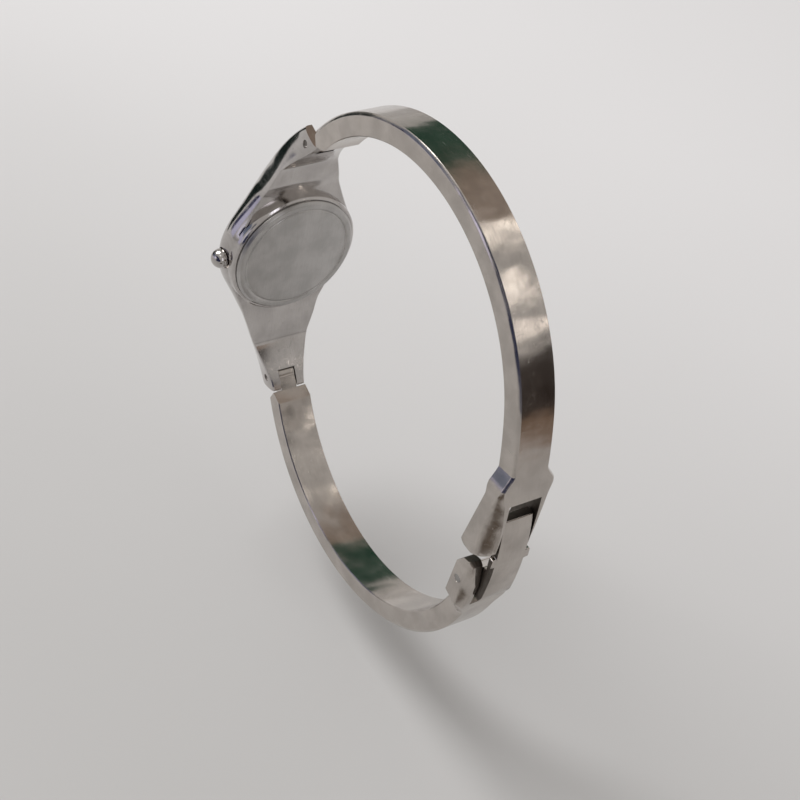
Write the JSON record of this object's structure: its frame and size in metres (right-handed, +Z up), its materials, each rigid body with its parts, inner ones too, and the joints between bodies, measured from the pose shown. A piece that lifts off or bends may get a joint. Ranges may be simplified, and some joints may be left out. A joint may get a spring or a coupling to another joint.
{
  "type": "wristwatch",
  "caption": "Quartz wristwatch on a rigid hinged bangle, with a small round case, a ball-shaped crown and a fold-over lever clasp.",
  "frame": {"origin": "centre of the wrist opening, on the bangle's middle plane", "axes": "+Y along the wrist, away from the crown; +Z up towards 12 o'clock; the dial faces -X and the clasp is on the +X side"},
  "size_m": [0.0532, 0.0185, 0.063],
  "materials": {
    "satin_steel": "satin, lightly worn",
    "polished_steel": "polished, fine scratches",
    "dark_steel": "dull",
    "brass": "satin",
    "copper": "enamelled wire",
    "grey_plastic": "matte",
    "rubber": "matte",
    "board": "satin",
    "dial_paint": "satin",
    "glass": "clear"
  },
  "bodies": {
    "case": {"case_middle": "polished_steel", "case_back": "satin_steel", "case_back_gasket": "rubber", "crystal": "glass", "crystal_gasket": "grey_plastic", "crown_tube": "dark_steel", "dial": "dial_paint", "hour_markers": "polished_steel", "movement_holder": "grey_plastic", "main_plate": "brass", "train_bridge": "brass", "bridge_screws": "dark_steel", "circuit_board": "board", "quartz_can": "polished_steel", "coil": "copper", "stator": "dark_steel", "battery": "polished_steel", "battery_clamp": "satin_steel", "upper_lug_pin": "dark_steel", "lower_lug_pin": "dark_steel"},
    "upper_half": {"upper_bangle": "satin_steel", "clasp_catch_pin": "dark_steel"},
    "lower_half": {"lower_bangle": "satin_steel", "clasp_pivot_pin": "dark_steel"},
    "lever": {"clasp_lever": "satin_steel"},
    "crown_slide": {"crown_gasket": "rubber", "setting_lever": "dark_steel"},
    "crown_spin": {"crown": "polished_steel", "stem": "satin_steel"},
    "rotor": {"rotor": "dark_steel"},
    "fifth": {"fifth_wheel": "brass"},
    "seconds": {"seconds_wheel": "brass", "second_hand": "polished_steel"},
    "third": {"third_wheel": "brass"},
    "centre": {"centre_wheel": "brass"},
    "cannon": {"cannon_pinion": "polished_steel", "minute_hand": "polished_steel"},
    "minute_wheel": {"minute_wheel": "brass"},
    "hour": {"hour_wheel": "brass", "hour_hand": "polished_steel"}
  },
  "joints": [
    {"name": "upper_swing", "type": "hinge", "parent": "case", "child": "upper_half", "pos_m": [-0.0214, 0, 0.0178], "axis": [0, -1, 0], "range_deg": [0, 9]},
    {"name": "lower_swing", "type": "hinge", "parent": "case", "child": "lower_half", "pos_m": [-0.0214, 0, -0.0178], "axis": [0, 1, 0], "range_deg": [0, 9]},
    {"name": "lever_swing", "type": "hinge", "parent": "lower_half", "child": "lever", "pos_m": [0.0219, 0, -0.0088], "axis": [0, 1, 0], "range_deg": [0, 90]},
    {"name": "crown_pull", "type": "slide", "parent": "case", "child": "crown_slide", "axis": [0, -1, 0], "range_m": [0, 0.0005]},
    {"name": "crown_turn", "type": "hinge", "parent": "crown_slide", "child": "crown_spin", "pos_m": [-0.02545, -0.008, 0], "axis": [0, -1, 0], "continuous": true},
    {"name": "seconds_turn", "type": "hinge", "parent": "case", "child": "seconds", "pos_m": [-0.025, 0, 0], "axis": [1, 0, 0], "continuous": true},
    {"name": "rotor_turn", "type": "hinge", "parent": "case", "child": "rotor", "pos_m": [-0.025, 0.00214, 0.00161], "axis": [1, 0, 0], "continuous": true},
    {"name": "fifth_turn", "type": "hinge", "parent": "case", "child": "fifth", "pos_m": [-0.025, 0.00125, 0.00072], "axis": [1, 0, 0], "continuous": true},
    {"name": "third_turn", "type": "hinge", "parent": "case", "child": "third", "pos_m": [-0.025, -0.00113, 0.00113], "axis": [1, 0, 0], "continuous": true},
    {"name": "centre_turn", "type": "hinge", "parent": "case", "child": "centre", "pos_m": [-0.025, 0, 0], "axis": [1, 0, 0], "continuous": true},
    {"name": "minute_turn", "type": "hinge", "parent": "case", "child": "cannon", "pos_m": [-0.025, 0, 0], "axis": [1, 0, 0], "continuous": true},
    {"name": "minute_wheel_turn", "type": "hinge", "parent": "case", "child": "minute_wheel", "pos_m": [-0.025, -0.00147, -0.00085], "axis": [1, 0, 0], "continuous": true},
    {"name": "hour_turn", "type": "hinge", "parent": "case", "child": "hour", "pos_m": [-0.025, 0, 0], "axis": [1, 0, 0], "continuous": true}
  ],
  "couplings": [
    {"joint": "lower_swing", "follows": "upper_swing", "ratio": 1},
    {"joint": "lever_swing", "follows": "upper_swing", "ratio": 10},
    {"joint": "rotor_turn", "follows": "seconds_turn", "ratio": 30},
    {"joint": "fifth_turn", "follows": "seconds_turn", "ratio": -5},
    {"joint": "third_turn", "follows": "seconds_turn", "ratio": -0.13333},
    {"joint": "centre_turn", "follows": "seconds_turn", "ratio": 0.016667},
    {"joint": "minute_turn", "follows": "seconds_turn", "ratio": 0.016667},
    {"joint": "minute_wheel_turn", "follows": "seconds_turn", "ratio": -0.0055556},
    {"joint": "hour_turn", "follows": "seconds_turn", "ratio": 0.0013889}
  ]
}
